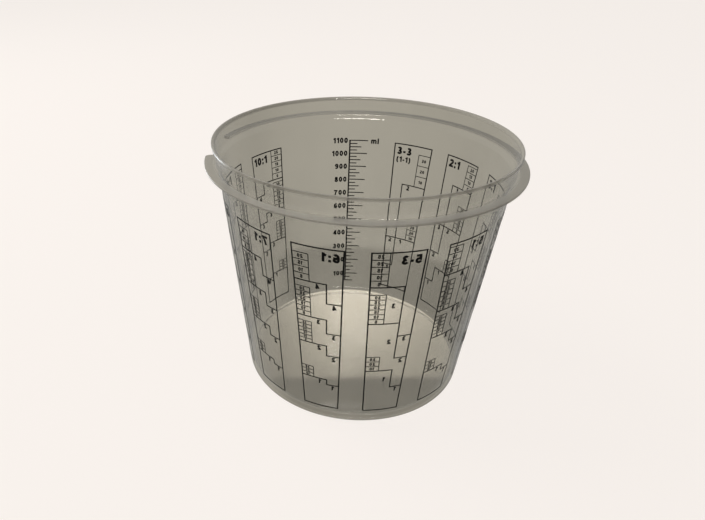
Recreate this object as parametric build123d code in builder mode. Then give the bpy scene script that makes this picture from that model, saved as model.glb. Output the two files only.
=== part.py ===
"""Resin mixing cup: a clear moulded cup with a millilitre scale and ratio charts printed round its wall.

Lengths are in millimetres and angles in degrees. The axis of the cup is Z and its foot stands on Z = 0.
Angles round the wall start at +Y, where the millilitre scale stands, and grow clockwise seen from above,
which is the direction in which the print is read from inside the cup.
"""
import os
from math import cos, pi, radians, sin, tan
from typing import NamedTuple

from build123d import *

# Moulded cup: height, tapered wall and foot ring
cup_height = 122.7
foot_diameter = 113.4
draft_angle = 5.64
wall_thickness = 1.0
foot_corner_radius = 1.4
foot_ring_thickness = 2.2

# Floor, set up inside the foot ring, with the gate mark of the moulding in a shallow well below it
foot_recess = 2.3
floor_thickness = 1.25
floor_corner_radius = 2.4
gate_well_diameter = 9.0
gate_well_depth = 0.35
gate_mark_diameter = 2.4
gate_mark_height = 0.3

# Collar, the step that carries it on the wall, and the flange round its bottom
collar_height = 8.8
collar_thickness = 0.95
step_out = 1.8
step_rise = 1.95
step_wall_drop = 0.45
flange_width = 4.2
flange_thickness = 1.05
flange_end_radius = 1.8

# Gap in the flange, where a thumb lifts a lid off the bead
lid_gap_angle = -79.6
lid_gap_sweep_angle = 21.5

# Bead round the mouth, proud of the collar on the outside
bead_height = 1.7
bead_overhang = 0.6
bead_lip_height = 0.35
brim_round_share = 0.49

# Print on the outside of the wall, from the full mark down to the foot of the charts
ink_thickness = 0.06
full_mark_drop = 14.45
chart_foot_height = 8.1
frame_line = 0.55
level_line = 0.45
thinner_line = 0.35

# Millilitre scale: its volumes, its lines, and how far its marks reach round the wall
full_mark_millilitres = 1100
mark_step_millilitres = 50
steps_to_long_mark = 2
scale_line = 0.8
mark_line = 0.5
long_mark_sweep_angle = 9.0
middle_mark_share = 0.65
mark_narrowing_share = 0.2

# Ratio charts: the first one, their spacing, and how each narrows towards the foot
first_chart_angle = 32.1
chart_pitch_angle = 28.16
chart_sweep_angle = 19.05
title_edge_lean_angle = 0.55
thinner_edge_lean_angle = 2.05
step_column_share = 0.32
thinner_column_share = 0.67

# Most thinner that a chart measures out above a mix, in percent of the mix
most_thinner_percent = 30


class Chart(NamedTuple):
    """A ratio chart: parts of base and hardener, levels of base in millilitres, thinner above the top mix."""

    base_parts: int
    hardener_parts: int
    base_levels: tuple
    top_thinner_percent: int


charts = [
    Chart(1, 1, (200, 400), 30),
    Chart(2, 1, (200, 400, 600), 20),
    Chart(3, 1, (200, 400, 600), 30),
    Chart(4, 1, (200, 400, 550, 750), 15),
    Chart(5, 1, (200, 400, 550, 750), 20),
    Chart(5, 3, (200, 400, 550), 25),
    Chart(6, 1, (200, 400, 550, 750), 20),
    Chart(7, 1, (200, 400, 600, 800), 15),
    Chart(8, 1, (200, 400, 600, 800), 20),
    Chart(9, 1, (200, 400, 600, 800), 20),
    Chart(10, 1, (200, 400, 600, 800), 25),
]


def outer_radius(height):
    """Radius of the outside of the wall at a height."""
    return foot_diameter / 2 + height * tan(radians(draft_angle))


def inner_radius(height):
    """Radius of the inside of the wall at a height."""
    return outer_radius(height) - wall_thickness / cos(radians(draft_angle))


# Heights and radii worked out from the sizes above
floor_top = foot_recess + floor_thickness
foot_ring_inner_radius = outer_radius(0) - foot_ring_thickness
bead_bottom = cup_height - bead_height
flange_top = cup_height - collar_height
flange_bottom = flange_top - flange_thickness
step_bottom = flange_bottom - step_rise
wall_top = step_bottom - step_wall_drop
full_mark_height = flange_bottom - full_mark_drop
collar_radius = outer_radius(wall_top) + step_out
collar_inner_radius = collar_radius - collar_thickness
flange_radius = collar_radius + flange_width
bead_radius = collar_radius + bead_overhang
overrun = flange_width


def volume_to(height):
    """Volume that the cup holds up to a height, in cubic millimetres, as a cone frustum on the floor."""
    low, high = inner_radius(floor_top), inner_radius(height)
    return pi * (height - floor_top) * (low**2 + low * high + high**2) / 3


def height_of(millilitres):
    """Height of a level in the cup, as a share of the volume at the full mark."""
    low_cube, full_cube = inner_radius(floor_top) ** 3, inner_radius(full_mark_height) ** 3
    surface_radius = (low_cube + millilitres / full_mark_millilitres * (full_cube - low_cube)) ** (1 / 3)
    return floor_top + (surface_radius - inner_radius(floor_top)) / tan(radians(draft_angle))


def bearing(angle, radius):
    """Point on a level plane at an angle round the cup and a distance from its axis."""
    return radius * sin(radians(angle)), radius * cos(radians(angle))


def reading_plane(angle):
    """Upright plane through the axis, as someone sees it who reads the print at an angle from inside."""
    turn = radians(angle)
    return Plane(origin=(0, 0, 0), x_dir=(cos(turn), -sin(turn), 0), z_dir=(-sin(turn), -cos(turn), 0))


def share_down(height):
    """Share of the way from the full mark down to the foot of the charts."""
    return (full_mark_height - height) / (full_mark_height - chart_foot_height)


def across(sweep, height):
    """Distance across a reading plane to the point of the wall that lies a sweep off its middle."""
    return outer_radius(height) * sin(radians(sweep))


def chart_across(share, height):
    """Distance across the plane of a chart, share 0 at its title edge and 1 at its thinner edge."""
    title_edge = -chart_sweep_angle / 2 + title_edge_lean_angle * share_down(height)
    thinner_edge = chart_sweep_angle / 2 - thinner_edge_lean_angle * share_down(height)
    return across(title_edge + share * (thinner_edge - title_edge), height)


def level_bar(from_share, to_share, height, line):
    """Level line of a chart, from one share of its width to another."""
    left, right = chart_across(from_share, height), chart_across(to_share, height)
    bottom, top = height - line / 2, height + line / 2
    Polygon((left, bottom), (right, bottom), (right, top), (left, top), align=None)


def upright_bar(share, low, high, line):
    """Upright line of a chart, which runs half a line past both its heights to fill the corners."""
    foot, head = chart_across(share, low), chart_across(share, high)
    bottom, top = low - line / 2, high + line / 2
    Polygon(
        (foot - line / 2, bottom),
        (foot + line / 2, bottom),
        (head + line / 2, top),
        (head - line / 2, top),
        align=None,
    )


def draw_chart(chart):
    """Artwork of one chart: its frame, and for each level the base step, the mix and the thinner column."""
    for edge_share in (0, 1):
        upright_bar(edge_share, chart_foot_height, full_mark_height, frame_line)
    for edge_height in (chart_foot_height, full_mark_height):
        level_bar(0, 1, edge_height, frame_line)
    for base in chart.base_levels:
        mix = base * (chart.base_parts + chart.hardener_parts) / chart.base_parts
        thinner_percent = chart.top_thinner_percent if base == chart.base_levels[-1] else most_thinner_percent
        thinned = mix * (100 + thinner_percent) / 100
        level_bar(0, step_column_share, height_of(base), level_line)
        upright_bar(step_column_share, height_of(base), height_of(mix), level_line)
        level_bar(step_column_share, 1, height_of(mix), level_line)
        upright_bar(thinner_column_share, height_of(mix), height_of(thinned), thinner_line)
        level_bar(thinner_column_share, 1, height_of(thinned), thinner_line)


def draw_scale():
    """Artwork of the millilitre scale: an upright line with marks on the side of the first chart."""
    low, high = height_of(mark_step_millilitres) - mark_line / 2, full_mark_height + mark_line / 2
    left, right = -scale_line / 2, scale_line / 2
    Polygon((left, low), (right, low), (right, high), (left, high), align=None)
    for count in range(1, full_mark_millilitres // mark_step_millilitres + 1):
        height = height_of(count * mark_step_millilitres)
        sweep = long_mark_sweep_angle * (1 - mark_narrowing_share * share_down(height))
        if count % steps_to_long_mark:
            sweep *= middle_mark_share
        bottom, top = height - mark_line / 2, height + mark_line / 2
        reach = across(sweep, height)
        Polygon((0, bottom), (reach, bottom), (reach, top), (0, top), align=None)


# Cup: floor, wall, step, collar, flange and bead are one moulding, turned from one section
with BuildPart() as cup:
    with BuildSketch(Plane.XZ) as section:
        with BuildLine():
            Polyline(
                (0, foot_recess),
                (foot_ring_inner_radius, foot_recess),
                (foot_ring_inner_radius, 0),
                (outer_radius(0), 0),
                (outer_radius(wall_top), wall_top),
                (collar_radius, flange_bottom),
                (flange_radius, flange_bottom),
                (flange_radius, flange_top),
                (collar_radius, flange_top),
                (collar_radius, bead_bottom),
                (bead_radius, bead_bottom + bead_lip_height),
                (bead_radius, cup_height),
                (collar_inner_radius, cup_height),
                (collar_inner_radius, flange_bottom),
                (inner_radius(step_bottom), step_bottom),
                (inner_radius(floor_top), floor_top),
                (0, floor_top),
                close=True,
            )
        make_face()
        brim = section.vertices().group_by(Axis.Y)[-1]
        fillet(brim, radius=brim_round_share * (bead_radius - collar_inner_radius))
        foot_corner = section.vertices().sort_by_distance((outer_radius(0), 0))[0]
        fillet(foot_corner, radius=foot_corner_radius)
        floor_corner = section.vertices().sort_by_distance((inner_radius(floor_top), floor_top))[0]
        fillet(floor_corner, radius=floor_corner_radius)
    revolve(axis=Axis.Z)

    # The flange stops either side of the lid gap, with rounded ends
    with BuildSketch(Plane.XY.offset(flange_bottom)):
        Circle(flange_radius + overrun)
        Circle(collar_radius, mode=Mode.SUBTRACT)
        gap_start, gap_end = lid_gap_angle - lid_gap_sweep_angle / 2, lid_gap_angle + lid_gap_sweep_angle / 2
        wedge_reach = 2 * flange_radius
        Polygon(
            (0, 0),
            bearing(gap_start, wedge_reach),
            bearing(gap_end, wedge_reach),
            align=None,
            mode=Mode.INTERSECT,
        )
    extrude(amount=flange_thickness, mode=Mode.SUBTRACT)
    flange_ends = cup.edges().filter_by(Axis.Z).sort_by_distance((0, 0, flange_bottom))[-2:]
    fillet(flange_ends, radius=flange_end_radius)

    # Gate mark in its well, under the middle of the floor
    with BuildSketch(Plane.XY.offset(foot_recess)):
        Circle(gate_well_diameter / 2)
        Circle(gate_mark_diameter / 2, mode=Mode.SUBTRACT)
    extrude(amount=gate_well_depth, mode=Mode.SUBTRACT)
    with BuildSketch(Plane.XY.offset(foot_recess)):
        Circle(gate_mark_diameter / 2)
    extrude(amount=gate_well_depth - gate_mark_height, mode=Mode.SUBTRACT)
cup.part.label = "cup"

# What is printed on the wall: each print's name, its angle round the wall, and its chart if it is one
prints = [("ml_scale", 0, None)]
for place, chart in enumerate(charts):
    name = f"ratio_chart_{chart.base_parts}_to_{chart.hardener_parts}"
    prints.append((name, first_chart_angle + place * chart_pitch_angle, chart))

os.makedirs("parts", exist_ok=True)
export_step(cup.part, "parts/cup.step")

# Each print is artwork pushed out through the wall, of which the film of ink on the outside is kept
for name, angle, chart in prints:
    with BuildPart() as ink:
        with BuildSketch(reading_plane(angle)):
            if chart:
                draw_chart(chart)
            else:
                draw_scale()
        extrude(amount=-flange_radius)
        with BuildSketch(Plane.XZ):
            Polygon(
                (outer_radius(0), 0),
                (outer_radius(0) + ink_thickness, 0),
                (outer_radius(wall_top) + ink_thickness, wall_top),
                (outer_radius(wall_top), wall_top),
                align=None,
            )
        revolve(axis=Axis.Z, mode=Mode.INTERSECT)
    ink.part.label = name
    export_step(ink.part, f"parts/{name}.step")

print(f"full mark at {full_mark_height:.2f} mm holds {volume_to(full_mark_height) / 1000:.0f} ml")
print(f"flange {2 * flange_radius:.1f} mm, bead {2 * bead_radius:.1f} mm, foot {foot_diameter:.1f} mm")
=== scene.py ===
"""Resin mixing cup: a translucent moulded cup with a millilitre scale and mixing ratio charts printed on it.

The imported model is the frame: +Z up, origin at the centre of the foot ring, +Y through the line of the scale.
Sizes are millimetres, as on a drawing, and become metres where a mesh is made. Angles round the wall are
degrees that start at +Y and grow clockwise seen from above, the way the print is read from inside the cup.
"""
import logging
import math
from dataclasses import dataclass, field
from enum import Enum
from functools import partial
from typing import Any, NamedTuple, Sequence

import bmesh
import bpy
import numpy as np
from bpy.types import GeometryNodeTree, Material, Node, NodeSocket, NodeTree, Object, World
from mathutils import Matrix, Vector


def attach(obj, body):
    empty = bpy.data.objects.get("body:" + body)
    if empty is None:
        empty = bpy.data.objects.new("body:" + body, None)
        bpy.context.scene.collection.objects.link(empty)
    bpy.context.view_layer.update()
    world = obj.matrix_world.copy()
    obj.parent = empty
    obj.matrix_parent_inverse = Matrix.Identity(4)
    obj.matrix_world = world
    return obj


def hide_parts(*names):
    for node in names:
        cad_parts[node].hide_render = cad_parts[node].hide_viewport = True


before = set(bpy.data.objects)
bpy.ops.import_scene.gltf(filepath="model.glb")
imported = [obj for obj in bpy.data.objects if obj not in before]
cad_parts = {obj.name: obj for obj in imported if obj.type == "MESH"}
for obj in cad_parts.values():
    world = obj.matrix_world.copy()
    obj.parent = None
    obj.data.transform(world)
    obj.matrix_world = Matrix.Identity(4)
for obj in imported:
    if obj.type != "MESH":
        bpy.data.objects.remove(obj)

MM = 0.001

logging.basicConfig(level=logging.INFO, format="%(name)s: %(message)s")
log = logging.getLogger("mixing_cup")

Point = tuple[float, float]


class Corner(NamedTuple):
    """Corner of an outline, in millimetres, with the radius that rounds it."""

    x: float
    y: float
    radius: float = 0.0


class Anchor(Enum):
    """Which end of a word its place is given for, as a share of the word's width."""

    START = 0.0
    MIDDLE = 0.5
    END = 1.0


class MarkKind(Enum):
    """How far a mark of the millilitre scale reaches, as a share of its longest marks."""

    HUNDRED = 1.0
    FIFTY = 0.65
    TWENTY_FIVE = 0.42


class NumberPlace(Enum):
    """Where the number of a level stands in the column of its mix."""

    UNDER_LINE = 0
    IN_COLUMN = 1


class Purpose(Enum):
    """What a lamp is for: to light matt surfaces and throw shadows, or to be mirrored."""

    LIGHT = 0
    GLEAM = 1


class Ink(Enum):
    """Layer that a printed line lies in, so that lines that cross don't lie in one plane."""

    UNDER = 0
    OVER = 1


def linear(hex_code: str) -> tuple[float, float, float, float]:
    """Turns an sRGB hex code into the linear colour that a node takes.

    Args:
        hex_code: six hex digits, with or without a leading hash.

    Returns:
        Red, green, blue and an alpha of 1.
    """
    code = hex_code.lstrip("#")
    channels = [int(code[place : place + 2], 16) / 255 for place in (0, 2, 4)]
    red, green, blue = (c / 12.92 if c <= 0.04045 else ((c + 0.055) / 1.055) ** 2.4 for c in channels)
    return red, green, blue, 1.0


def add_node(
    tree: NodeTree, kind: str, inputs: dict[str | int, Any] | None = None, **settings: Any
) -> Node:
    """Adds a node with its settings and links.

    Args:
        tree: node tree that gets the node.
        kind: Blender's name for the kind of node.
        inputs: for each input, by name or place, a value, or what to link from: a socket, a node whose first
            output is meant, or a list of these.
        **settings: properties of the node.

    Returns:
        The new node.
    """
    node = tree.nodes.new(kind)
    for name, value in settings.items():
        setattr(node, name, value)
    for key, value in (inputs or {}).items():
        sources = value if isinstance(value, list) else [value]
        if isinstance(sources[0], (Node, NodeSocket)):
            for source in sources:
                socket = source.outputs[0] if isinstance(source, Node) else source
                tree.links.new(socket, node.inputs[key])
        else:
            node.inputs[key].default_value = value
    return node


def cleared(owner: Material | World) -> NodeTree:
    """Gives a new material or world an empty node tree.

    Args:
        owner: the material or world.

    Returns:
        Its node tree.
    """
    owner.use_nodes = True
    owner.node_tree.nodes.clear()
    return owner.node_tree


def add_object(
    name: str, points: np.ndarray, faces: Sequence[Sequence[int]] = (), **attributes: Sequence[float]
) -> Object:
    """Makes a mesh object in the scene.

    Args:
        name: name of the object and its mesh.
        points: one row of three coordinates, in metres, for each vertex.
        faces: vertex numbers of each face.
        **attributes: one number for each vertex, under the attribute's name.

    Returns:
        The new object, at the origin.
    """
    mesh = bpy.data.meshes.new(name)
    mesh.from_pydata([tuple(point) for point in points], [], [tuple(face) for face in faces])
    for attribute, values in attributes.items():
        mesh.attributes.new(attribute, "FLOAT", "POINT").data.foreach_set("value", values)
    made = bpy.data.objects.new(name, mesh)
    bpy.context.scene.collection.objects.link(made)
    return made


def add_inputs(tree: GeometryNodeTree, sockets: dict[str, Sequence[str]]) -> Node:
    """Gives a geometry tree its named inputs and its one geometry output.

    Args:
        tree: the geometry tree.
        sockets: names of the inputs of each kind, the kind being Blender's name without NodeSocket.

    Returns:
        The Group Input node.
    """
    for kind, names in sockets.items():
        for name in names:
            tree.interface.new_socket(name, in_out="INPUT", socket_type=f"NodeSocket{kind}")
    tree.interface.new_socket("Geometry", in_out="OUTPUT", socket_type="NodeSocketGeometry")
    return add_node(tree, "NodeGroupInput")


def put_round(
    tree: GeometryNodeTree,
    flat: Node,
    outward: Node,
    radius: Node,
    height: NodeSocket,
) -> Node:
    """Adds the nodes that move flat geometry to its place round the axis.

    Args:
        tree: the geometry tree.
        flat: node that gives the geometry.
        outward: level direction away from the axis, of length 1.
        radius: distance from the axis.
        height: height above the foot.

    Returns:
        The Set Position node.
    """
    ring = add_node(tree, "ShaderNodeVectorMath", {0: outward, "Scale": radius}, operation="SCALE")
    lift = add_node(tree, "ShaderNodeCombineXYZ", {"Z": height})
    place = add_node(tree, "ShaderNodeVectorMath", {0: ring, 1: lift}, operation="ADD")
    return add_node(tree, "GeometryNodeSetPosition", {"Geometry": flat, "Position": place})


def run_tree(tree: GeometryNodeTree, name: str, values: dict[str, Any]) -> Object:
    """Runs a geometry tree with its inputs set and keeps what it makes as a plain mesh.

    Args:
        tree: the geometry tree.
        name: name of the finished object.
        values: value of each input, by the input's name.

    Returns:
        The object with the finished mesh and no modifier.
    """
    made = add_object(name, np.zeros((1, 3)))
    modifier = made.modifiers.new(tree.name, "NODES")
    modifier.node_group = tree
    for item in tree.interface.items_tree:
        if item.in_out == "INPUT" and item.name in values:
            modifier[item.identifier] = values[item.name]
    graph = bpy.context.evaluated_depsgraph_get()
    finished = bpy.data.meshes.new_from_object(made.evaluated_get(graph))
    made.modifiers.remove(modifier)
    made.data = finished
    made.data.name = name
    return made


def rounded(corners: Sequence[Corner], arc_step: float = 18.0) -> list[Point]:
    """Draws a line through corners and rounds each by its own radius.

    Args:
        corners: the corners in order.
        arc_step: most degrees that one piece of an arc turns.

    Returns:
        Points of the line.
    """
    points = [(corners[0].x, corners[0].y)]
    for before, corner, after in zip(corners, corners[1:], corners[2:]):
        place = Vector((corner.x, corner.y))
        if not corner.radius:
            points.append(tuple(place))
            continue
        back = (Vector((before.x, before.y)) - place).normalized()
        ahead = (Vector((after.x, after.y)) - place).normalized()
        half = back.angle(ahead) / 2
        centre = place + (back + ahead).normalized() * (corner.radius / math.sin(half))
        first = place + back * (corner.radius / math.tan(half)) - centre
        last = place + ahead * (corner.radius / math.tan(half)) - centre
        sweep = math.pi - 2 * half
        count = max(2, math.ceil(math.degrees(sweep) / arc_step))
        for share in np.linspace(0, 1, count + 1):
            arm = (first * math.sin((1 - share) * sweep) + last * math.sin(share * sweep)) / math.sin(sweep)
            points.append(tuple(centre + arm))
    points.append((corners[-1].x, corners[-1].y))
    return points


def spaced(points: Sequence[Point], margin: float, most: float) -> list[Point]:
    """Adds points to the long straights of a line: one near each end, and more between, evenly.

    Args:
        points: points of the line.
        margin: distance from a straight's end to the point that is added near it.
        most: greatest distance between points.

    Returns:
        Points of the finer line.
    """
    finer = [points[0]]
    for start, end in zip(points, points[1:]):
        run = Vector(end) - Vector(start)
        if run.length > 3 * margin:
            inner = max(1, math.ceil((run.length - 2 * margin) / most))
            for share in np.linspace(margin / run.length, 1 - margin / run.length, inner + 1):
                finer.append(tuple(Vector(start) + run * share))
        finer.append(end)
    return finer


@dataclass(frozen=True)
class Wall:
    """The tapered wall: its radii, and the height that each volume reaches in the cup."""

    foot_radius: float = 56.7
    draft: float = 5.64
    thickness: float = 1.0
    floor_top: float = 3.55
    full_height: float = 98.4
    full_volume: float = 1100.0
    chart_foot: float = 8.1

    @property
    def slope(self) -> float:
        """Growth of the radius with height."""
        return math.tan(math.radians(self.draft))

    @property
    def print_radius(self) -> float:
        """Radius at which flat artwork has its true width, half way up the print."""
        return self.outer((self.chart_foot + self.full_height) / 2)

    def outer(self, height: float) -> float:
        """Radius of the outside at a height."""
        return self.foot_radius + height * self.slope

    def inner(self, height: float) -> float:
        """Radius of the inside at a height."""
        return self.outer(height) - self.thickness / math.cos(math.radians(self.draft))

    def height_of(self, volume: float) -> float:
        """Height that a volume reaches, from the volume of a cone frustum on the floor.

        Args:
            volume: millilitres.

        Returns:
            Height above the foot, in millimetres.
        """
        low, full = self.inner(self.floor_top) ** 3, self.inner(self.full_height) ** 3
        surface = (low + volume / self.full_volume * (full - low)) ** (1 / 3)
        return self.floor_top + (surface - self.inner(self.floor_top)) / self.slope

    def share_down(self, height: float) -> float:
        """Share of the way from the full mark down to the foot of the charts."""
        return (self.full_height - height) / (self.full_height - self.chart_foot)

    def across(self, angle: float) -> float:
        """Distance along flat artwork that an angle round the wall takes."""
        return self.print_radius * math.radians(angle)


@dataclass(frozen=True)
class MouldedPolypropylene:
    """Translucent polypropylene, injection moulded: smoky, see-through, and glossy from a polished mould.

    To the eye it is a thin grey glass gone soft. What lies behind a wall shows dimmed but sharp, black print
    stays black through it, and edges that are seen along the plastic are milky and nearly solid.
    """

    haze: str = "#26241f"
    edge_haze: str = "#c2c0b8"
    wall_alpha: float = 0.14
    edge_alpha: float = 0.42
    longest_way: float = 1.5
    roughness: float = 0.35
    refraction: float = 1.49
    specular: float = 0.1
    wall_mirror: float = 0.045
    rim_mirror: float = 0.03
    gloss: Point = (0.044, 0.0715)
    cloud_size: float = 26.0
    polish_grain: float = 3.0
    bead_from: float = 120.9
    bead_full: float = 121.2
    rim_radius: float = 69.7
    rim_blend: float = 0.1
    rim_polish: float = 0.38
    unevenness: float = 0.15
    milky_power: float = 2.2
    glance_power: float = 5.0
    most_mirror: float = 0.6
    sheen: str = "#ffffff"

    def material(self) -> Material:
        """Builds the material.

        Returns:
            The material. Its patterns follow Object coordinates.
        """
        made = bpy.data.materials.new("moulded_polypropylene")
        tree = cleared(made)
        add = partial(add_node, tree)
        place = add("ShaderNodeTexCoord").outputs["Object"]
        height = add("ShaderNodeSeparateXYZ", {0: place}).outputs["Z"]
        bead = add(
            "ShaderNodeMapRange",
            {"Value": height, "From Min": self.bead_from * MM, "From Max": self.bead_full * MM},
        )

        # Outside the collar the flange and bead are thicker, and the mould is ground there and not polished
        flat = add("ShaderNodeVectorMath", {0: place, 1: (1.0, 1.0, 0.0)}, operation="MULTIPLY")
        reach = add("ShaderNodeVectorMath", {0: flat}, operation="LENGTH").outputs["Value"]
        start, end = self.rim_radius - self.rim_blend, self.rim_radius + self.rim_blend
        outer = add("ShaderNodeMapRange", {"Value": reach, "From Min": start * MM, "From Max": end * MM})

        # Haze is never quite even: the melt cools in soft clouds
        clouds = add(
            "ShaderNodeTexNoise", {"Vector": place, "Scale": 1 / (self.cloud_size * MM), "Detail": 3.0}
        ).outputs["Fac"]
        low, high = 1 - self.unevenness, 1 + self.unevenness
        thicker = add("ShaderNodeMapRange", {"Value": clouds, "To Min": low, "To Max": high})
        thick = add("ShaderNodeMath", {0: bead, 1: outer}, operation="MAXIMUM")
        alpha = add(
            "ShaderNodeMapRange", {"Value": thick, "To Min": self.wall_alpha, "To Max": self.edge_alpha}
        )
        hazed = add("ShaderNodeMath", {0: alpha, 1: thicker}, operation="MULTIPLY")

        # The flatter a wall is seen, the longer the way through it, and the less it lets through
        facing = add("ShaderNodeLayerWeight", {"Blend": 0.5}).outputs["Facing"]
        cosine = add("ShaderNodeMapRange", {"Value": facing, "To Min": 1.0, "To Max": 0.0})
        cosine = add("ShaderNodeMath", {0: cosine, 1: 1 / self.longest_way}, operation="MAXIMUM")
        way = add("ShaderNodeMath", {0: 1.0, 1: cosine}, operation="DIVIDE")
        clear = add("ShaderNodeMath", {0: 1.0, 1: hazed}, operation="SUBTRACT")
        passed = add("ShaderNodeMath", {0: clear, 1: way}, operation="POWER")
        solid = add("ShaderNodeMath", {0: 1.0, 1: passed}, operation="SUBTRACT")
        rim = add("ShaderNodeMath", {0: facing, 1: self.milky_power}, operation="POWER")
        milky = add("ShaderNodeMath", {0: thick, 1: rim}, operation="MAXIMUM")
        colour = add(
            "ShaderNodeMix", {0: milky, 6: linear(self.haze), 7: linear(self.edge_haze)}, data_type="RGBA"
        ).outputs[2]
        body = add(
            "ShaderNodeBsdfPrincipled",
            {
                "Base Color": colour,
                "Roughness": self.roughness,
                "IOR": self.refraction,
                "Specular IOR Level": self.specular,
                "Alpha": solid,
            },
        )

        # A clear wall mirrors as much as a solid one, and more the flatter it is seen
        glance = add("ShaderNodeMath", {0: facing, 1: self.glance_power}, operation="POWER")
        straight = add("ShaderNodeMix", {0: outer, 2: self.wall_mirror, 3: self.rim_mirror})
        mirrored = add(
            "ShaderNodeMapRange", {"Value": glance, "To Min": straight, "To Max": self.most_mirror}
        )
        grain = add(
            "ShaderNodeTexNoise", {"Vector": place, "Scale": 1 / (self.polish_grain * MM), "Detail": 2.0}
        ).outputs["Fac"]
        polish = add(
            "ShaderNodeMapRange", {"Value": grain, "To Min": self.gloss[0], "To Max": self.gloss[1]}
        )
        polish = add("ShaderNodeMix", {0: outer, 2: polish, 3: self.rim_polish})
        shine = add("ShaderNodeBsdfGlossy", {"Color": linear(self.sheen), "Roughness": polish})
        both = add("ShaderNodeMixShader", {0: mirrored, 1: body, 2: shine})
        add("ShaderNodeOutputMaterial", {"Surface": both})
        return made


@dataclass(frozen=True)
class PadPrintedInk:
    """Black ink, pad printed and cured: matt and dense, with a thin skin that is a little uneven."""

    dense: str = "#040404"
    thin: str = "#0e0d0d"
    patch_size: float = 2.2
    roughness: Point = (0.5, 0.72)
    specular: float = 0.25

    def material(self) -> Material:
        """Builds the material.

        Returns:
            The material. Its patterns follow Object coordinates.
        """
        made = bpy.data.materials.new("pad_printed_ink")
        tree = cleared(made)
        add = partial(add_node, tree)
        place = add("ShaderNodeTexCoord").outputs["Object"]
        patches = add(
            "ShaderNodeTexNoise", {"Vector": place, "Scale": 1 / (self.patch_size * MM), "Detail": 4.0}
        ).outputs["Fac"]
        colour = add(
            "ShaderNodeMix", {0: patches, 6: linear(self.dense), 7: linear(self.thin)}, data_type="RGBA"
        ).outputs[2]
        low, high = self.roughness
        rough = add("ShaderNodeMapRange", {"Value": patches, "To Min": low, "To Max": high})
        ink = add(
            "ShaderNodeBsdfPrincipled",
            {"Base Color": colour, "Roughness": rough, "Specular IOR Level": self.specular},
        )
        add("ShaderNodeOutputMaterial", {"Surface": ink})
        return made


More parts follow.
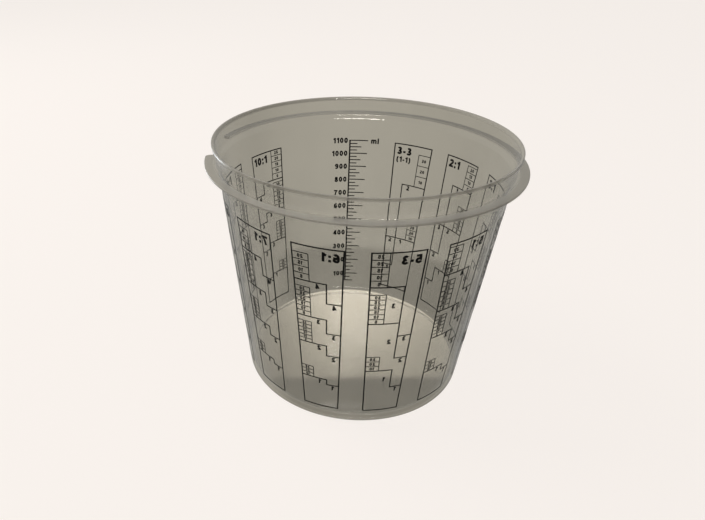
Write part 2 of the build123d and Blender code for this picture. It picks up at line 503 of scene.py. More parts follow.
@dataclass
class CupShell:
    """The moulding: floor, foot ring, wall, step, collar, flange and lid bead, turned from one section.

    Values that end in round, fillet, outside, inside, under or over are the radii of corners. Those that begin
    with end draw the flange's end beside the lid gap, along the rim and away from the axis.
    """

    wall: Wall
    height: float = 122.7
    foot_ring: float = 2.2
    foot_round: float = 1.4
    ring_round: float = 0.35
    ring_fillet: float = 0.5
    floor_fillet: float = 2.4
    recess: float = 2.3
    well_radius: float = 4.5
    well_depth: float = 0.35
    gate_radius: float = 1.2
    gate_height: float = 0.3
    gate_round: float = 0.12
    wall_top: float = 110.45
    step_bottom: float = 110.9
    step_out: float = 1.8
    step_outside: float = 1.6
    step_inside: float = 0.8
    collar_thickness: float = 0.95
    collar_fillet: float = 0.45
    flange_bottom: float = 112.85
    flange_top: float = 113.9
    flange_width: float = 4.2
    flange_under: float = 0.3
    flange_over: float = 0.35
    bead_bottom: float = 121.0
    bead_lip: float = 0.35
    bead_overhang: float = 0.6
    bead_fillet: float = 0.15
    bead_under: float = 0.25
    bead_outside: float = 0.3
    bead_inside: float = 1.2
    gap_middle: float = -79.6
    gap_sweep: float = 21.5
    end_reach: Point = (2.4, 4.0)
    end_lean: float = 0.15
    end_fillet: float = 0.5
    end_round: float = 1.8
    columns: int = 400
    weld: float = 0.004
    sliver: float = 0.001
    crease: float = 35.0

    @property
    def collar_radius(self) -> float:
        """Outer radius of the collar."""
        return self.wall.outer(self.wall_top) + self.step_out

    @property
    def flange_radius(self) -> float:
        """Outer radius of the flange."""
        return self.collar_radius + self.flange_width

    def section(self) -> list[Point]:
        """Draws the section from the axis under the floor, up the outside, over the bead and down inside.

        Returns:
            Points of radius and height.
        """
        wall, collar, flange = self.wall, self.collar_radius, self.flange_radius
        bead, inside = collar + self.bead_overhang, collar - self.collar_thickness
        well_top = self.recess + self.well_depth
        corners = [
            Corner(0, well_top - self.gate_height),
            Corner(self.gate_radius, well_top - self.gate_height, self.gate_round),
            Corner(self.gate_radius, well_top),
            Corner(self.well_radius, well_top, self.gate_round),
            Corner(self.well_radius, self.recess, self.gate_round),
            Corner(wall.foot_radius - self.foot_ring, self.recess, self.ring_fillet),
            Corner(wall.foot_radius - self.foot_ring, 0, self.ring_round),
            Corner(wall.foot_radius, 0, self.foot_round),
            Corner(wall.outer(self.wall_top), self.wall_top, self.step_outside),
            Corner(collar, self.flange_bottom),
            Corner(flange, self.flange_bottom, self.flange_under),
            Corner(flange, self.flange_top, self.flange_over),
            Corner(collar, self.flange_top, self.collar_fillet),
            Corner(collar, self.bead_bottom, self.bead_fillet),
            Corner(bead, self.bead_bottom + self.bead_lip, self.bead_under),
            Corner(bead, self.height, self.bead_outside),
            Corner(inside, self.height, self.bead_inside),
            Corner(inside, self.flange_bottom, self.step_inside),
            Corner(wall.inner(self.step_bottom), self.step_bottom, self.step_inside),
            Corner(wall.inner(wall.floor_top), wall.floor_top, self.floor_fillet),
            Corner(0, wall.floor_top),
        ]
        return spaced(rounded(corners), margin=0.5, most=9.0)

    def plan(self) -> list[Point]:
        """Draws the flange's outline from above, with the lid gap and the rounded ends beside it.

        Returns:
            Points of x and y all the way round, the first of them again at the end.
        """
        collar, flange = self.collar_radius, self.flange_radius
        before, after = self.end_reach
        end = [
            Corner(-before, collar),
            Corner(0, collar, self.end_fillet),
            Corner(self.end_lean, flange, self.end_round),
            Corner(after, flange),
        ]
        edge = [(math.degrees(across / reach), reach) for across, reach in rounded(end, arc_step=15.0)]
        start, stop = self.gap_middle + self.gap_sweep / 2, self.gap_middle - self.gap_sweep / 2 + 360
        outline = [(start + turn, reach) for turn, reach in edge]
        far_end = [(stop - turn, reach) for turn, reach in reversed(edge)]
        for low, high, reach in (
            (outline[-1][0], far_end[0][0], flange),
            (far_end[-1][0], outline[0][0] + 360, collar),
        ):
            count = max(4, round((high - low) / 360 * self.columns))
            arc = [(turn, reach) for turn in np.linspace(low, high, count + 1)[1:-1]]
            outline = outline + arc + far_end if reach == flange else outline + arc
        outline = [(math.radians(turn), reach) for turn, reach in [*outline, outline[0]]]
        return [(reach * math.sin(turn), reach * math.cos(turn)) for turn, reach in outline]

    def tree(self) -> GeometryNodeTree:
        """Builds the tree that turns a section round a plan outline.

        Returns:
            A tree that takes both outlines, the radii of collar and flange, the zone's top and a finish.
        """
        tree = bpy.data.node_groups.new("turned_shell", "GeometryNodeTree")
        add = partial(add_node, tree)
        given = add_inputs(
            tree,
            {
                "Object": ["Section", "Plan"],
                "Int": ["Rows", "Columns"],
                "Float": ["Collar Radius", "Flange Radius", "Zone Top"],
                "Material": ["Finish"],
            },
        ).outputs
        sheet = add(
            "GeometryNodeMeshGrid", {"Vertices X": given["Columns"], "Vertices Y": given["Rows"]}
        ).outputs["Mesh"]
        index = add("GeometryNodeInputIndex")
        column = add("ShaderNodeMath", {0: index, 1: given["Rows"]}, operation="DIVIDE")
        column = add("ShaderNodeMath", {0: column}, operation="FLOOR")
        row = add("ShaderNodeMath", {0: index, 1: given["Rows"]}, operation="FLOORED_MODULO")
        at = add("GeometryNodeInputPosition")
        read = {}
        for name, number in (("Section", row), ("Plan", column)):
            line = add("GeometryNodeObjectInfo", {"Object": given[name]}).outputs["Geometry"]
            read[name] = add(
                "GeometryNodeSampleIndex",
                {"Geometry": line, "Value": at, "Index": number},
                data_type="FLOAT_VECTOR",
            )
        profile = add("ShaderNodeSeparateXYZ", {0: read["Section"]}).outputs
        reach = add("ShaderNodeVectorMath", {0: read["Plan"]}, operation="LENGTH").outputs["Value"]
        outward = add("ShaderNodeVectorMath", {0: read["Plan"]}, operation="NORMALIZE")

        # Rows of the flange end on the plan outline, and every other row is round
        flange_radius = add(
            "ShaderNodeMapRange",
            {
                "Value": profile["X"],
                "From Min": given["Collar Radius"],
                "From Max": given["Flange Radius"],
                "To Min": given["Collar Radius"],
                "To Max": reach,
            },
        )
        collar = given["Collar Radius"]
        beyond = add("ShaderNodeMath", {0: profile["X"], 1: collar}, operation="GREATER_THAN")
        below = add("ShaderNodeMath", {0: profile["Z"], 1: given["Zone Top"]}, operation="LESS_THAN")
        on_flange = add("ShaderNodeMath", {0: beyond, 1: below}, operation="MULTIPLY")
        radius = add("ShaderNodeMix", {0: on_flange, 2: profile["X"], 3: flange_radius})
        turned = put_round(tree, sheet, outward, radius, profile["Z"])
        closed = add("GeometryNodeMergeByDistance", {"Geometry": turned, "Distance": self.weld * MM})
        real = add("GeometryNodeRealizeInstances", {"Geometry": closed})
        dressed = add("GeometryNodeSetMaterial", {"Geometry": real, "Material": given["Finish"]})
        add("NodeGroupOutput", {"Geometry": dressed})
        return tree

    def build(self, finish: Material) -> Object:
        """Turns the shell and points its faces outwards.

        Args:
            finish: material of the plastic.

        Returns:
            The finished cup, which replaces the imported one.
        """
        section, plan = self.section(), self.plan()
        section_line = add_object("section_line", np.array([(r, 0, z) for r, z in section]) * MM)
        plan_line = add_object("plan_line", np.array([(x, y, 0) for x, y in plan]) * MM)
        shell = run_tree(
            self.tree(),
            "cup_shell",
            {
                "Section": section_line,
                "Plan": plan_line,
                "Rows": len(section),
                "Columns": len(plan),
                "Collar Radius": self.collar_radius * MM,
                "Flange Radius": self.flange_radius * MM,
                "Zone Top": (self.flange_top + self.bead_bottom) / 2 * MM,
                "Finish": finish,
            },
        )
        for line in (section_line, plan_line):
            bpy.data.objects.remove(line)
        work = bmesh.new()
        work.from_mesh(shell.data)
        bmesh.ops.dissolve_degenerate(work, dist=self.sliver * MM, edges=work.edges)
        bmesh.ops.recalc_face_normals(work, faces=work.faces)
        work.to_mesh(shell.data)
        work.free()
        shell.data.polygons.foreach_set("use_smooth", [True] * len(shell.data.polygons))
        shell.data.set_sharp_from_angle(angle=math.radians(self.crease))
        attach(shell, "root")
        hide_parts("cup")
        return shell


@dataclass
class Lettering:
    """Bold upright figures and the few signs beside them, drawn with one broad pen, each word made once.

    A figure is one unit high, and the pen's width and the gap between signs are shares of it. A sign's
    strokes are the middle lines of the pen.
    """

    pen: float = 0.26
    gap: float = 0.15
    arc_step: float = 24.0
    mitre: float = 0.6
    words: dict[str, tuple[np.ndarray, list[tuple[int, ...]]]] = field(default_factory=dict)

    def arc(self, centre: Point, radii: Point, start: float, end: float) -> list[Point]:
        """Gives points of an arc of an ellipse.

        Args:
            centre: middle of the ellipse.
            radii: its half widths along x and y.
            start: angle of the first point, in degrees from +x.
            end: angle of the last point.

        Returns:
            Points of the arc.
        """
        count = max(4, round(abs(end - start) / self.arc_step))
        turns = np.radians(np.linspace(start, end, count + 1))
        return [(centre[0] + radii[0] * math.cos(t), centre[1] + radii[1] * math.sin(t)) for t in turns]

    def strokes(self, sign: str) -> list[list[Point]]:
        """Draws one sign.

        Args:
            sign: a figure, a colon, a hyphen, a bracket, m or l.

        Returns:
            The pen's strokes.
        """
        half, top = self.pen / 2, 1 - self.pen / 2
        middle, bowl = 0.33, 0.33 - half
        six = [
            self.arc((middle, 0.31), (bowl, 0.31 - half), 0, 360),
            [(half, 0.33), *self.arc((0.37, 0.5), (0.37 - half, 0.5 - half), 175, 48)],
        ]
        five = self.arc((0.31, 0.34), (0.35 - half, 0.34 - half), 120, -160)
        signs = {
            "0": [self.arc((middle, 0.5), (bowl, 0.5 - half), 0, 360)],
            "1": [[(0.34, 0), (0.34, 1)], [(0.04, 0.72), (0.2, 0.77), (0.34, 0.93)]],
            "2": [
                [*self.arc((middle, 0.69), (bowl, 0.31 - half), 165, -35), (0.13, half + 0.04)],
                [(0, half), (0.65, half)],
            ],
            "3": [
                self.arc((0.31, 0.72), (0.29 - half, 0.28 - half), 160, -85),
                [(0.2, 0.53), *self.arc((0.31, 0.29), (0.34 - half, 0.3 - half), 75, -165)],
            ],
            "4": [[(0.68, 0.27), (half - 0.02, 0.27), (0.44, 0.9)], [(0.47, 0), (0.47, 1)]],
            "5": [[(0.6, top), (0.18, top), (0.12, 0.47), *five]],
            "6": six,
            "7": [[(0.02, top), (0.56, top), (0.38, 0.55), (0.25, 0)]],
            "8": [
                self.arc((middle, 0.73), (0.29 - half, 0.27 - half), 0, 360),
                self.arc((middle, 0.29), (bowl, 0.3 - half), 0, 360),
            ],
            "9": [[(2 * middle - x, 1 - y) for x, y in stroke] for stroke in six],
            ":": [[(half, 0), (half, self.pen)], [(half, 0.5), (half, 0.5 + self.pen)]],
            "-": [[(0, 0.36), (0.34, 0.36)]],
            "(": [self.arc((0.52, 0.39), (0.42, 0.68), 128, 232)],
            ")": [self.arc((-0.18, 0.39), (0.42, 0.68), 52, -52)],
            "m": [
                [(half, 0), (half, 0.72)],
                [*self.arc((0.29, 0.47), (0.2, 0.17), 170, 0), (0.49, 0)],
                [*self.arc((0.69, 0.47), (0.2, 0.17), 180, 0), (0.89, 0)],
            ],
            "l": [[(half, 0), (half, 1)]],
        }
        return signs[sign]

    def ribbon(self, stroke: list[Point]) -> tuple[np.ndarray, np.ndarray]:
        """Gives both edges of the pen's track along a stroke, with mitred corners.

        Args:
            stroke: points of the middle line, the first again at the end if it is closed.

        Returns:
            Points of the left edge and of the right edge.
        """
        line = np.array(stroke, float)
        runs = np.diff(line, axis=0)
        runs /= np.linalg.norm(runs, axis=1)[:, None]
        closed = np.allclose(line[0], line[-1])
        before = np.vstack([runs[-1:] if closed else runs[:1], runs])
        after = np.vstack([runs, runs[:1] if closed else runs[-1:]])
        ahead = before + after
        ahead /= np.linalg.norm(ahead, axis=1)[:, None]
        reach = 1 / np.maximum((ahead * after).sum(1), self.mitre)
        side = np.column_stack([-ahead[:, 1], ahead[:, 0]]) * (reach * self.pen / 2)[:, None]
        return line + side, line - side

    def word(self, text: str) -> tuple[np.ndarray, list[tuple[int, ...]]]:
        """Gives a word with figures one unit high, from its lower left corner.

        Args:
            text: figures and generic signs.

        Returns:
            Its points and its faces.
        """
        if text not in self.words:
            blocks, faces, start = [], [], 0.0
            for sign in text:
                edges = [self.ribbon(stroke) for stroke in self.strokes(sign)]
                low = min(min(left[:, 0].min(), right[:, 0].min()) for left, right in edges)
                high = max(max(left[:, 0].max(), right[:, 0].max()) for left, right in edges)
                for left, right in edges:
                    first, count = sum(len(block) for block in blocks), len(left)
                    blocks.append(np.vstack([left, right]) + (start - low, 0))
                    for i in range(first, first + count - 1):
                        faces.append((i + count, i + count + 1, i + 1, i))
                start += high - low + self.gap
            self.words[text] = np.vstack(blocks), faces
        return self.words[text]


@dataclass
class Artwork:
    """Flat artwork of one print, before it is wrapped on the wall: x along the wall, y up it.

    Lines that cross lie in two layers, and words in a third, so that no two faces of ink lie in one plane.
    """

    wall: Wall
    lettering: Lettering
    over_layer: float = 0.003
    word_layer: float = 0.0045
    marks: list[tuple[float, ...]] = field(default_factory=list)
    points: list[np.ndarray] = field(default_factory=list)
    faces: list[tuple[int, ...]] = field(default_factory=list)

    def line(self, start: Point, end: Point, width: float, ink: Ink = Ink.UNDER, past: float = 0.0) -> None:
        """Draws a straight line.

        Args:
            start: one end.
            end: the other end.
            width: width of the line.
            ink: layer that the line lies in.
            past: how far the line runs past both its ends.
        """
        run = Vector(end) - Vector(start)
        middle = (Vector(start) + Vector(end)) / 2
        turn = math.atan2(run.y, run.x)
        layer = ink.value * self.over_layer
        self.marks.append((middle.x, middle.y, layer, run.length + 2 * past, width, turn))

    def write(self, text: str, place: Point, size: float, anchor: Anchor = Anchor.MIDDLE) -> None:
        """Writes a word at its true width on the wall, centred on its height.

        Args:
            text: figures and generic signs.
            place: where the word's anchor stands, at half its height.
            size: height of its figures.
            anchor: which end of the word stands there.
        """
        points, faces = self.lettering.word(text)
        across = size * self.wall.print_radius / self.wall.outer(place[1])
        width = points[:, 0].max() * across
        first = sum(len(block) for block in self.points)
        moved = np.zeros((len(points), 3))
        moved[:, 0] = points[:, 0] * across - anchor.value * width + place[0]
        moved[:, 1] = (points[:, 1] - 0.5) * size + place[1]
        moved[:, 2] = self.word_layer
        self.points.append(moved)
        self.faces.extend(tuple(first + corner for corner in face) for face in faces)


@dataclass
class WallPrinter:
    """Wraps flat artwork on the tapered wall as a thin film of ink."""

    wall: Wall
    finish: Material
    lift: float = 0.01
    film: float = 0.042
    weld: float = 0.0005
    line_steps: int = 13

    def __post_init__(self) -> None:
        """Builds the tree once for all prints."""
        self.made_tree = self.tree()

    def tree(self) -> GeometryNodeTree:
        """Builds the tree that draws the lines, joins the words, makes a film of them and wraps it.

        Returns:
            A tree that takes the lines as points, the words as a mesh, the wall's sizes, an angle, a finish.
        """
        tree = bpy.data.node_groups.new("print_on_wall", "GeometryNodeTree")
        add = partial(add_node, tree)
        given = add_inputs(
            tree,
            {
                "Object": ["Lines", "Words"],
                "Int": ["Line Steps"],
                "Float": ["Angle", "Foot Radius", "Slope", "Print Radius", "Film"],
                "Material": ["Finish"],
            },
        ).outputs
        lines = add("GeometryNodeObjectInfo", {"Object": given["Lines"]}).outputs["Geometry"]
        words = add("GeometryNodeObjectInfo", {"Object": given["Words"]}).outputs["Geometry"]
        stroke = add(
            "GeometryNodeMeshGrid",
            {"Size X": 1.0, "Size Y": 1.0, "Vertices X": given["Line Steps"], "Vertices Y": 2},
        ).outputs["Mesh"]
        size = {}
        for name in ("length", "width", "turn"):
            size[name] = add("GeometryNodeInputNamedAttribute", {"Name": name}).outputs["Attribute"]
        scale = add("ShaderNodeCombineXYZ", {"X": size["length"], "Y": size["width"], "Z": 1.0})
        turn = add("ShaderNodeCombineXYZ", {"Z": size["turn"]})
        strokes = add(
            "GeometryNodeInstanceOnPoints",
            {"Points": lines, "Instance": stroke, "Rotation": turn, "Scale": scale},
        )
        real = add("GeometryNodeRealizeInstances", {"Geometry": strokes})
        flat = add("GeometryNodeJoinGeometry", {"Geometry": [words, real]})
        top = add(
            "GeometryNodeExtrudeMesh",
            {"Mesh": flat, "Offset": (0.0, 0.0, 1.0), "Offset Scale": given["Film"], "Individual": False},
        ).outputs["Mesh"]
        under = add("GeometryNodeFlipFaces", {"Mesh": flat})
        film = add("GeometryNodeJoinGeometry", {"Geometry": [under, top]})
        film = add("GeometryNodeMergeByDistance", {"Geometry": film, "Distance": self.weld * MM})

        # A flat x becomes a turn round the axis, and y a height at which the wall has its own radius
        at = add("GeometryNodeInputPosition")
        at = add("ShaderNodeSeparateXYZ", {0: at}).outputs
        arc = add("ShaderNodeMath", {0: at["X"], 1: given["Print Radius"]}, operation="DIVIDE")
        bearing = add("ShaderNodeMath", {0: arc, 1: given["Angle"]}, operation="ADD")
        east = add("ShaderNodeMath", {0: bearing}, operation="SINE")
        north = add("ShaderNodeMath", {0: bearing}, operation="COSINE")
        taper = add(
            "ShaderNodeMath",
            {0: at["Y"], 1: given["Slope"], 2: given["Foot Radius"]},
            operation="MULTIPLY_ADD",
        )
        radius = add("ShaderNodeMath", {0: taper, 1: at["Z"]}, operation="ADD")
        outward = add("ShaderNodeCombineXYZ", {"X": east, "Y": north})
        wrapped = put_round(tree, film, outward, radius, at["Y"])
        outside = add("GeometryNodeFlipFaces", {"Mesh": wrapped})
        dressed = add("GeometryNodeSetMaterial", {"Geometry": outside, "Material": given["Finish"]})
        add("NodeGroupOutput", {"Geometry": dressed})
        return tree

    def print(self, artwork: Artwork, node: str, angle: float) -> Object:
        """Prints artwork on the wall.

        Args:
            artwork: flat artwork, with its middle at x = 0.
            node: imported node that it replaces, after which the piece is named.
            angle: degrees round the wall to the artwork's middle.

        Returns:
            The finished print.
        """
        marks = np.array(artwork.marks) * MM
        turns = marks[:, 5] / MM
        lines = add_object("lines", marks[:, :3], length=marks[:, 3], width=marks[:, 4], turn=turns)
        words = add_object("words", np.concatenate(artwork.points) * MM, artwork.faces)
        made = run_tree(
            self.made_tree,
            f"print_{node}",
            {
                "Lines": lines,
                "Words": words,
                "Line Steps": self.line_steps,
                "Angle": math.radians(angle),
                "Foot Radius": (self.wall.foot_radius + self.lift) * MM,
                "Slope": self.wall.slope,
                "Print Radius": self.wall.print_radius * MM,
                "Film": self.film * MM,
                "Finish": self.finish,
            },
        )
        for source in (lines, words):
            bpy.data.objects.remove(source)
        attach(made, "root")
        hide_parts(node)
        return made


@dataclass
class MillilitreScale:
    """The millilitre scale: an upright line, a mark every 25 ml, a figure every 100 ml, and its unit."""

    wall: Wall
    lettering: Lettering
    first_volume: int = 50
    step: int = 25
    line_width: float = 0.8
    mark_width: float = 0.55
    longest_sweep: float = 9.0
    narrowing: float = 0.2
    figure_size: float = 3.15
    figure_gap: float = 1.1
    unit_angle: float = 10.4
    line_past: float = 0.25

    def kind(self, volume: int) -> MarkKind:
        """Says how long the mark of a volume is.

        Args:
            volume: millilitres.

        Returns:
            The kind of its mark.
        """
        if volume % 100 == 0:
            return MarkKind.HUNDRED
        return MarkKind.FIFTY if volume % 50 == 0 else MarkKind.TWENTY_FIVE

    def artwork(self) -> Artwork:
        """Draws the scale.

        Returns:
            The flat artwork.
        """
        wall, art = self.wall, Artwork(self.wall, self.lettering)
        full = int(wall.full_volume)
        foot = wall.height_of(self.first_volume)
        art.line((0, foot), (0, wall.full_height), self.line_width, Ink.OVER, self.line_past)
        for volume in range(self.first_volume, full + 1, self.step):
            height, kind = wall.height_of(volume), self.kind(volume)
            sweep = self.longest_sweep * (1 - self.narrowing * wall.share_down(height)) * kind.value
            art.line((0, height), (wall.across(sweep), height), self.mark_width)
            if kind is MarkKind.HUNDRED:
                art.write(str(volume), (wall.across(-self.figure_gap), height), self.figure_size, Anchor.END)
        art.write("ml", (wall.across(self.unit_angle), wall.full_height), self.figure_size, Anchor.START)
        return art


@dataclass
class RatioChart:
    """A mixing ratio chart: for each amount of base, the mix with its hardener, and rows of thinner above."""

    wall: Wall
    lettering: Lettering
    base_parts: int
    hardener_parts: int
    base_levels: tuple[int, ...]
    top_thinner: int
    title: tuple[str, ...]
    numbers: NumberPlace = NumberPlace.UNDER_LINE
    sweep: float = 19.05
    title_lean: float = 0.55
    thinner_lean: float = 2.05
    step_column: float = 0.32
    thinner_column: float = 0.67
    frame_width: float = 0.62
    level_width: float = 0.56
    row_width: float = 0.38
    most_thinner: int = 30
    coarse_step: int = 10
    fine_step: int = 5
    title_size: float = 4.3
    title_inset: float = 1.5
    title_drop: float = 1.6
    title_gap: float = 1.2
    second_title: float = 0.72
    base_figure: float = 0.15
    mix_figure: float = 0.5
    level_size: float = 2.6
    level_gap: float = 0.5
    row_size: float = 1.8
    row_fill: float = 0.66

    @property
    def node(self) -> str:
        """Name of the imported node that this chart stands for."""
        return f"ratio_chart_{self.base_parts}_to_{self.hardener_parts}"

    def at(self, share: float, height: float) -> Point:
        """Finds a point of the chart between its two leaning edges.

        Args:
            share: share of the chart's width, 0 at its title edge and 1 at its thinner edge.
            height: height above the foot.

        Returns:
            The point, as flat artwork.
        """
        down = self.wall.share_down(height)
        title_edge = -self.sweep / 2 + self.title_lean * down
        thinner_edge = self.sweep / 2 - self.thinner_lean * down
        return self.wall.across(title_edge + share * (thinner_edge - title_edge)), height

    def draw_frame(self, art: Artwork) -> None:
        """Draws the four lines round the chart.

        Args:
            art: artwork that gets the lines.
        """
        low, high = self.wall.chart_foot, self.wall.full_height
        past = self.frame_width / 2
        for share in (0, 1):
            art.line(self.at(share, low), self.at(share, high), self.frame_width, Ink.OVER, past)
        for height in (low, high):
            art.line(self.at(0, height), self.at(1, height), self.frame_width)

    def draw_level(self, art: Artwork, number: int, base: int, mix_below: float) -> float:
        """Draws one level: the step for the base, the step for the mix, and the rows of thinner on it.

        Args:
            art: artwork that gets the lines and figures.
            number: number of the level, from 1 at the bottom.
            base: amount of base, in millilitres.
            mix_below: height of the line of the mix one level down, or 0.

        Returns:
            Height of the line of this level's mix.
        """
        wall = self.wall
        mix = base * (self.base_parts + self.hardener_parts) / self.base_parts
        top = self.top_thinner if number == len(self.base_levels) else self.most_thinner
        step = self.coarse_step if number == 1 or self.base_parts == 1 else self.fine_step
        low, middle, high = wall.height_of(base), wall.height_of(mix), wall.height_of(mix * (1 + top / 100))
        split, rows, past = self.step_column, self.thinner_column, self.level_width / 2
        art.line(self.at(0, low), self.at(split, low), self.level_width)
        art.line(self.at(split, middle), self.at(1, middle), self.level_width)
        art.line(self.at(split, low), self.at(split, middle), self.level_width, Ink.OVER, past)
        art.line(self.at(rows, middle), self.at(rows, high), self.row_width, Ink.OVER)
        under_line = self.level_gap + self.level_size / 2
        in_column = (middle - max(low, mix_below)) / 2
        hang = in_column if self.numbers is NumberPlace.IN_COLUMN else under_line
        art.write(str(number), self.at(self.base_figure, low - under_line), self.level_size)
        art.write(str(number), self.at(self.mix_figure, middle - hang), self.level_size)
        below = middle
        first = step if top % step == 0 else top % step
        for percent in range(first, top + 1, step):
            height = wall.height_of(mix * (1 + percent / 100))
            art.line(self.at(rows, height), self.at(1, height), self.row_width)
            size = min(self.row_size, self.row_fill * (height - below))
            art.write(str(percent), self.at((1 + rows) / 2, (height + below) / 2), size)
            below = height
        return middle

    def artwork(self) -> Artwork:
        """Draws the chart.

        Returns:
            The flat artwork.
        """
        art = Artwork(self.wall, self.lettering)
        self.draw_frame(art)
        mix_height = 0.0
        for number, base in enumerate(self.base_levels, start=1):
            mix_height = self.draw_level(art, number, base, mix_height)
        x, height = self.at(0, self.wall.full_height)
        size, drop = self.title_size, self.title_drop
        for text in self.title:
            art.write(text, (x + self.title_inset, height - drop - size / 2), size, Anchor.START)
            drop, size = drop + size + self.title_gap, size * self.second_title
        return art


@dataclass
class PrintedCup:
    """The whole cup: the moulding, the millilitre scale and the eleven ratio charts round the wall."""

    wall: Wall = Wall()
    lettering: Lettering = field(default_factory=Lettering)
    first_chart: float = 32.1
    pitch: float = 28.16

    def charts(self) -> list[RatioChart]:
        """Lists the charts clockwise from the scale.

        Returns:
            The charts, without their places.
        """
        rows: list[tuple[Any, ...]] = [
            (1, 1, (200, 400), 30, ("3-3", "(1-1)")),
            (2, 1, (200, 400, 600), 20, ("2:1",)),
            (3, 1, (200, 400, 600), 30, ("3:1",)),
            (4, 1, (200, 400, 550, 750), 15, ("4:1",)),
            (5, 1, (200, 400, 550, 750), 20, ("5:1",)),
            (5, 3, (200, 400, 550), 25, ("5-3",), NumberPlace.IN_COLUMN),
            (6, 1, (200, 400, 550, 750), 20, ("6:1",)),
            (7, 1, (200, 400, 600, 800), 15, ("7:1",)),
            (8, 1, (200, 400, 600, 800), 20, ("8:1",)),
            (9, 1, (200, 400, 600, 800), 20, ("9:1",)),
            (10, 1, (200, 400, 600, 800), 25, ("10:1",)),
        ]
        return [RatioChart(self.wall, self.lettering, *row) for row in rows]

    def build(self) -> None:
        """Builds the moulding and every print on it."""
        shell = CupShell(self.wall).build(MouldedPolypropylene().material())
        log.info("%s: %d faces", shell.name, len(shell.data.polygons))
        printer = WallPrinter(self.wall, PadPrintedInk().material())
        scale = MillilitreScale(self.wall, self.lettering)
        made = [printer.print(scale.artwork(), "ml_scale", 0.0)]
        for place, chart in enumerate(self.charts()):
            made.append(printer.print(chart.artwork(), chart.node, self.first_chart + place * self.pitch))
        for piece in made:
            log.info("%s: %d faces", piece.name, len(piece.data.polygons))


class Lamp(NamedTuple):
    """Soft lamp: place, aim and size in metres, colour, power in watts, use, and spread in degrees."""

    name: str
    place: tuple[float, float, float]
    aim: tuple[float, float, float]
    width: float
    height: float
    colour: str
    power: float
    purpose: Purpose
    spread: float = 180.0


class Ramp(NamedTuple):
    """Rise of a strength along one axis of the table, in millimetres, from the first place to the second."""

    axis: str
    start: float
    end: float
    low: float
    high: float
    kind: str = "SMOOTHSTEP"


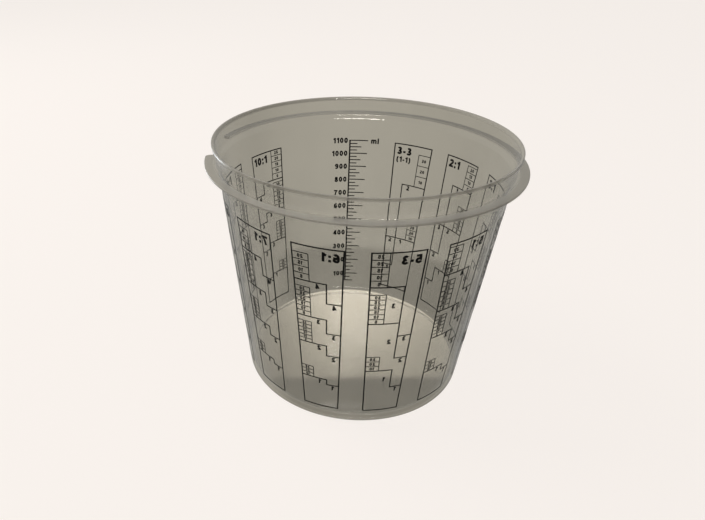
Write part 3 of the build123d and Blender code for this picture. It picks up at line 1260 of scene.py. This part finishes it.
@dataclass(frozen=True)
class Surroundings:
    """Pale matt table that runs into a pale backdrop, both greyer where they are looked at through the cup.

    The photograph has a plain pale backdrop, while its cup still holds the dim room that it stood in, and
    looks alike through one wall and through two. So the grey rises by what each face of the plastic takes
    away. Near the cup, to its left and under its foot the table shows a share of that grey: this is painted
    shade for the cup's shadow, deepest under its foot and lighter to its left. Under the cup lies a painted
    patch of light, a glow that stands in for daylight, with a straight front edge of painted shadow.
    """

    pale: str = "#f8f2ed"
    room: str = "#9f9a8d"
    # Shares of the room grey that paint the cup's shadow near it, under its foot and, lighter, to its left
    near_share: float = 0.72
    under_share: float = 0.63
    face_gain: float = 1.23
    most_gain: float = 6.0
    shade_edge: Point = (112.0, 124.0)
    left_edge: Point = (-46.0, -30.0)
    left_share: float = 0.93
    foot_middle: Point = (0.6, 4.5)
    foot_edge: Point = (54.2, 55.6)
    # Painted light: colour, strength and ramps of a glow that stands in for daylight under the cup
    patch: str = "#fff3da"
    patch_strength: float = 0.205
    patch_ramps: tuple[Ramp, ...] = (
        Ramp("Y", -27.0, 42.0, 0.85, 2.4, "LINEAR"),
        Ramp("Y", -29.0, -22.5, 0.0, 1.0),
        Ramp("X", -56.0, -4.0, 0.3, 1.0),
        Ramp("X", 62.0, 14.0, 0.6, 1.0),
    )
    glow: float = 1.06
    shadow_share: float = 0.14
    light: float = 0.3
    dark_room: float = 0.02
    bright_end: float = 0.36
    mirrored: str = "#f4f4f2"
    dusk_edge: Point = (-0.3, 0.8)
    size: float = 12.0

    def looks(self, tree: NodeTree) -> tuple[Node, Node]:
        """Adds what the table and the backdrop share.

        Args:
            tree: node tree of the table or of the world.

        Returns:
            A number that is 1 where the camera looks with nothing between, and the gain behind plastic.
        """
        depth = add_node(tree, "ShaderNodeLightPath").outputs["Transparent Depth"]
        direct = add_node(tree, "ShaderNodeMath", {0: depth, 1: 0.5}, operation="LESS_THAN")
        gain = add_node(tree, "ShaderNodeMath", {0: self.face_gain, 1: depth}, operation="POWER")
        gain = add_node(tree, "ShaderNodeMath", {0: gain, 1: self.most_gain}, operation="MINIMUM")
        return direct, gain

    def ramp(
        self,
        tree: NodeTree,
        value: NodeSocket,
        edge: Point,
        low: float | Node,
        high: float,
        kind: str = "SMOOTHSTEP",
    ) -> Node:
        """Adds a ramp over a distance.

        Args:
            tree: node tree.
            value: the distance, in metres.
            edge: where the ramp starts and ends, in millimetres.
            low: what it gives at its start.
            high: what it gives at its end.
            kind: Blender's name for the ramp's shape.

        Returns:
            The ramp's node.
        """
        ends = {"From Min": edge[0] * MM, "From Max": edge[1] * MM, "To Min": low, "To Max": high}
        return add_node(tree, "ShaderNodeMapRange", {"Value": value, **ends}, interpolation_type=kind)

    def add_table(self) -> Object:
        """Builds the table.

        Returns:
            The table, which is attached to no body.
        """
        # Where it is seen through the cup the table carries painted shade and a painted patch of light
        half = self.size / 2
        corners = np.array([(-half, -half, 0), (half, -half, 0), (half, half, 0), (-half, half, 0)], float)
        table = add_object("table", corners, [(0, 1, 2, 3)])
        made = bpy.data.materials.new("pale_table")
        tree = cleared(made)
        add = partial(add_node, tree)
        direct, gain = self.looks(tree)
        camera = add("ShaderNodeLightPath").outputs["Is Camera Ray"]
        place = add("ShaderNodeTexCoord").outputs["Object"]
        middle = (self.foot_middle[0] * MM, self.foot_middle[1] * MM, 0.0)
        moved = add("ShaderNodeVectorMath", {0: place, 1: middle}, operation="SUBTRACT")
        across = add("ShaderNodeVectorMath", {0: place}, operation="LENGTH").outputs["Value"]
        under = add("ShaderNodeVectorMath", {0: moved}, operation="LENGTH").outputs["Value"]
        axes = add("ShaderNodeSeparateXYZ", {0: place}).outputs
        # Painted shade: the room grey is darkened near the cup and most under its foot, as its shadow, and less
        # to its left
        shade = self.ramp(tree, axes["X"], self.left_edge, self.left_share, self.near_share)
        near = self.ramp(tree, across, self.shade_edge, shade, 1.0)
        beneath = self.ramp(tree, under, self.foot_edge, 1.0, 0.0)
        share = add("ShaderNodeMix", {0: beneath, 2: near, 3: self.under_share})
        strength = add("ShaderNodeMath", {0: share, 1: gain}, operation="MULTIPLY")
        dim = add("ShaderNodeEmission", {"Color": linear(self.room), "Strength": strength})
        # Painted light: a warm glow under the cup's foot, brighter toward +Y, fading to the sides, with a
        # painted shadow edge at its front
        painted_light_level = add("ShaderNodeMath", {0: beneath, 1: gain}, operation="MULTIPLY")
        painted_light_level = add("ShaderNodeMath", {0: painted_light_level, 1: self.patch_strength}, operation="MULTIPLY")
        for rise in self.patch_ramps:
            part = self.ramp(tree, axes[rise.axis], (rise.start, rise.end), rise.low, rise.high, rise.kind)
            painted_light_level = add("ShaderNodeMath", {0: painted_light_level, 1: part}, operation="MULTIPLY")
        patch = add("ShaderNodeEmission", {"Color": linear(self.patch), "Strength": painted_light_level})
        dim = add("ShaderNodeAddShader", {0: dim, 1: patch})
        glow = add("ShaderNodeEmission", {"Color": linear(self.pale), "Strength": self.glow})
        lit = add("ShaderNodeBsdfDiffuse", {"Color": linear(self.pale)})
        pale = add("ShaderNodeMixShader", {0: self.shadow_share, 1: glow, 2: lit})
        seen = add("ShaderNodeMixShader", {0: direct, 1: dim, 2: pale})
        grey = add("ShaderNodeBsdfDiffuse", {"Color": linear(self.room)})
        top = add("ShaderNodeMixShader", {0: camera, 1: grey, 2: seen})
        add("ShaderNodeOutputMaterial", {"Surface": top})
        table.data.materials.append(made)
        table.visible_glossy = False
        return table

    def add_backdrop(self) -> None:
        """Makes the world: pale to the camera, grey behind plastic, soft light, a dim room in mirrors."""
        world = bpy.data.worlds.new("backdrop")
        tree = cleared(world)
        add = partial(add_node, tree)
        direct, gain = self.looks(tree)
        rays = add("ShaderNodeLightPath").outputs

        # In mirrors the room is dark toward -Y and brighter toward +Y
        toward = add("ShaderNodeTexCoord").outputs["Generated"]
        back = add("ShaderNodeSeparateXYZ", {0: toward}).outputs["Y"]
        start, end = self.dusk_edge
        ends = {"From Min": start, "From Max": end, "To Min": self.dark_room, "To Max": self.bright_end}
        dusk = add("ShaderNodeMapRange", {"Value": back, **ends}, interpolation_type="SMOOTHSTEP")
        room = add("ShaderNodeBackground", {"Color": linear(self.mirrored), "Strength": dusk})
        shown = add("ShaderNodeBackground", {"Color": linear(self.pale)})
        dim = add("ShaderNodeBackground", {"Color": linear(self.room), "Strength": gain})
        light = add("ShaderNodeBackground", {"Color": linear(self.pale), "Strength": self.light})
        seen = add("ShaderNodeMixShader", {0: direct, 1: dim, 2: shown})
        around = add("ShaderNodeMixShader", {0: rays["Is Glossy Ray"], 1: light, 2: room})
        both = add("ShaderNodeMixShader", {0: rays["Is Camera Ray"], 1: around, 2: seen})
        add("ShaderNodeOutputWorld", {"Surface": both})
        bpy.context.scene.world = world


@dataclass
class Studio:
    """Camera, lamps, pale surroundings and table."""

    camera_place: tuple[float, float, float] = (-32.4075, -258.3448, 207.0620)
    heading: float = 0.4806
    pitch: float = 30.2544
    roll: float = 0.1043
    lens: float = 29.588
    sensor: float = 36.0
    nearest: float = 0.01
    shift: tuple[float, float] = (0.07648, 0.00128)
    surroundings: Surroundings = Surroundings()
    lamps: tuple[Lamp, ...] = (
        Lamp("soft_key", (-0.9, 0.35, 1.0), (0.0, 0.0, 0.03), 0.8, 0.8, "#fffaf2", 10.0, Purpose.LIGHT),
        Lamp(
            "rim_gleam",
            (-0.015, -0.85, 1.03),
            (0.0, 0.067, 0.112),
            0.78,
            0.3,
            "#fffaf0",
            12.0,
            Purpose.GLEAM,
        ),
        Lamp(
            "low_gleam",
            (-0.30, 0.20, 0.02),
            (-0.063, -0.029, 0.118),
            0.05,
            0.025,
            "#f4f8ff",
            0.0025,
            Purpose.GLEAM,
            24.0,
        ),
    )

    def add_camera(self) -> None:
        """Stands the camera where the photograph was taken from."""
        data = bpy.data.cameras.new("camera")
        data.lens, data.sensor_width = self.lens, self.sensor
        data.shift_x, data.shift_y = self.shift
        data.clip_start = self.nearest
        heading, pitch = math.radians(self.heading), math.radians(self.pitch)
        ahead = Vector(
            (math.sin(heading) * math.cos(pitch), math.cos(heading) * math.cos(pitch), -math.sin(pitch))
        )
        level = Vector((math.cos(heading), -math.sin(heading), 0))
        above = level.cross(ahead)
        roll = math.radians(self.roll)
        right = level * math.cos(roll) + above * math.sin(roll)
        up = above * math.cos(roll) - level * math.sin(roll)
        stand = Matrix((right, up, -ahead)).transposed().to_4x4()
        stand.translation = Vector(self.camera_place) * MM
        camera = bpy.data.objects.new("camera", data)
        camera.matrix_world = stand
        bpy.context.scene.collection.objects.link(camera)
        bpy.context.scene.camera = camera

    def add_lamps(self) -> None:
        """Hangs the lamps, each turned to its aim and unseen by the camera."""
        for lamp in self.lamps:
            data = bpy.data.lights.new(lamp.name, "AREA")
            data.shape, data.size, data.size_y = "RECTANGLE", lamp.width, lamp.height
            data.color, data.energy = linear(lamp.colour)[:3], lamp.power
            made = bpy.data.objects.new(lamp.name, data)
            made.location = lamp.place
            made.rotation_euler = (Vector(lamp.aim) - Vector(lamp.place)).to_track_quat("-Z", "Y").to_euler()
            data.spread = math.radians(lamp.spread)
            made.visible_camera = False
            made.visible_diffuse = lamp.purpose is Purpose.LIGHT
            made.visible_glossy = lamp.purpose is Purpose.GLEAM
            bpy.context.scene.collection.objects.link(made)

    def build(self) -> None:
        """Builds the studio."""
        self.add_camera()
        self.add_lamps()
        self.surroundings.add_table()
        self.surroundings.add_backdrop()
        bpy.context.scene.view_settings.view_transform = "Standard"


def main() -> None:
    """Builds the cup in its studio."""
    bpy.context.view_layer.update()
    PrintedCup().build()
    Studio().build()


if __name__ == "__main__":
    main()
